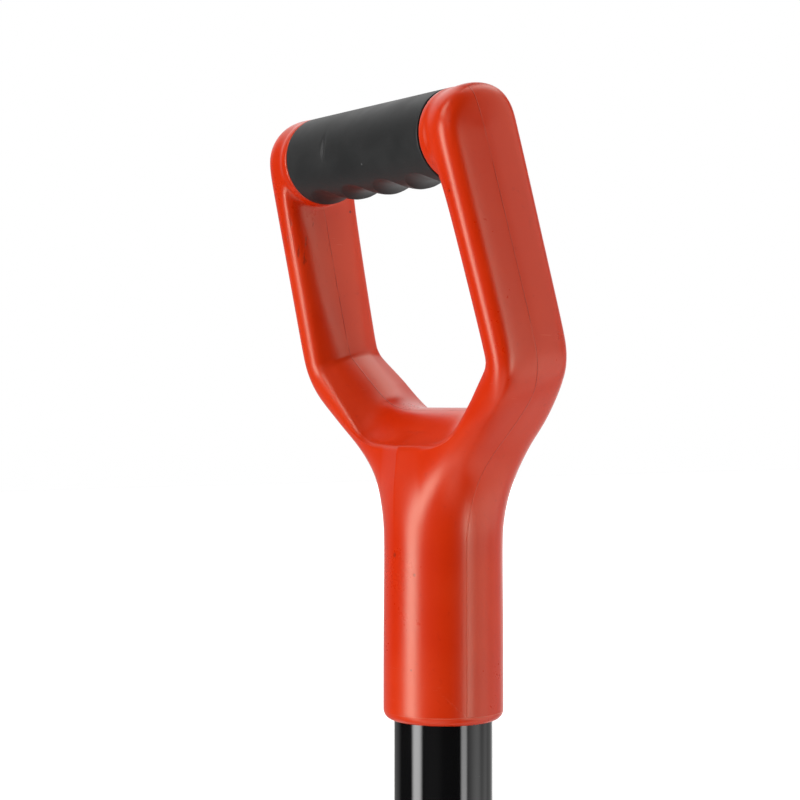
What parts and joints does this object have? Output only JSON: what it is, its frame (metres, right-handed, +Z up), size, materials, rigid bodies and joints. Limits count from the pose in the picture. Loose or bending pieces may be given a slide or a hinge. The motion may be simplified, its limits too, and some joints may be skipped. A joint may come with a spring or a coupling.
{
  "type": "digging spade",
  "caption": "Digging spade: moulded D handle with a ribbed soft grip, straight tube shaft, tapered socket and a dished rectangular blade with flat foot treads.",
  "frame": {"origin": "on the shaft's axis, level with the rim of the handle's collar, where a tool rack's clip holds the shaft", "axes": "+Z up the shaft towards the grip, +X along the grip's crossbar and the blade's width, -Y out of the digging face"},
  "size_m": [0.19, 0.0811, 1.1464],
  "materials": {
    "orange_red_plastic": "semi-gloss moulded plastic",
    "charcoal_rubber": "matte soft grip",
    "black_gloss_paint": "gloss black coating",
    "black_satin_paint": "satin black coating",
    "zinc_plated_steel": "zinc plated"
  },
  "bodies": {
    "root": {"handle_frame": "orange_red_plastic", "grip_sleeve": "charcoal_rubber", "shaft": "black_gloss_paint", "blade_socket": "black_satin_paint", "blade": "black_satin_paint", "left_tread": "black_satin_paint", "right_tread": "black_satin_paint", "left_tread_weld": "black_satin_paint", "right_tread_weld": "black_satin_paint", "socket_weld": "black_satin_paint", "collar_rivet": "zinc_plated_steel", "socket_rivet_upper": "zinc_plated_steel", "socket_rivet_lower": "zinc_plated_steel"}
  },
  "joints": []
}
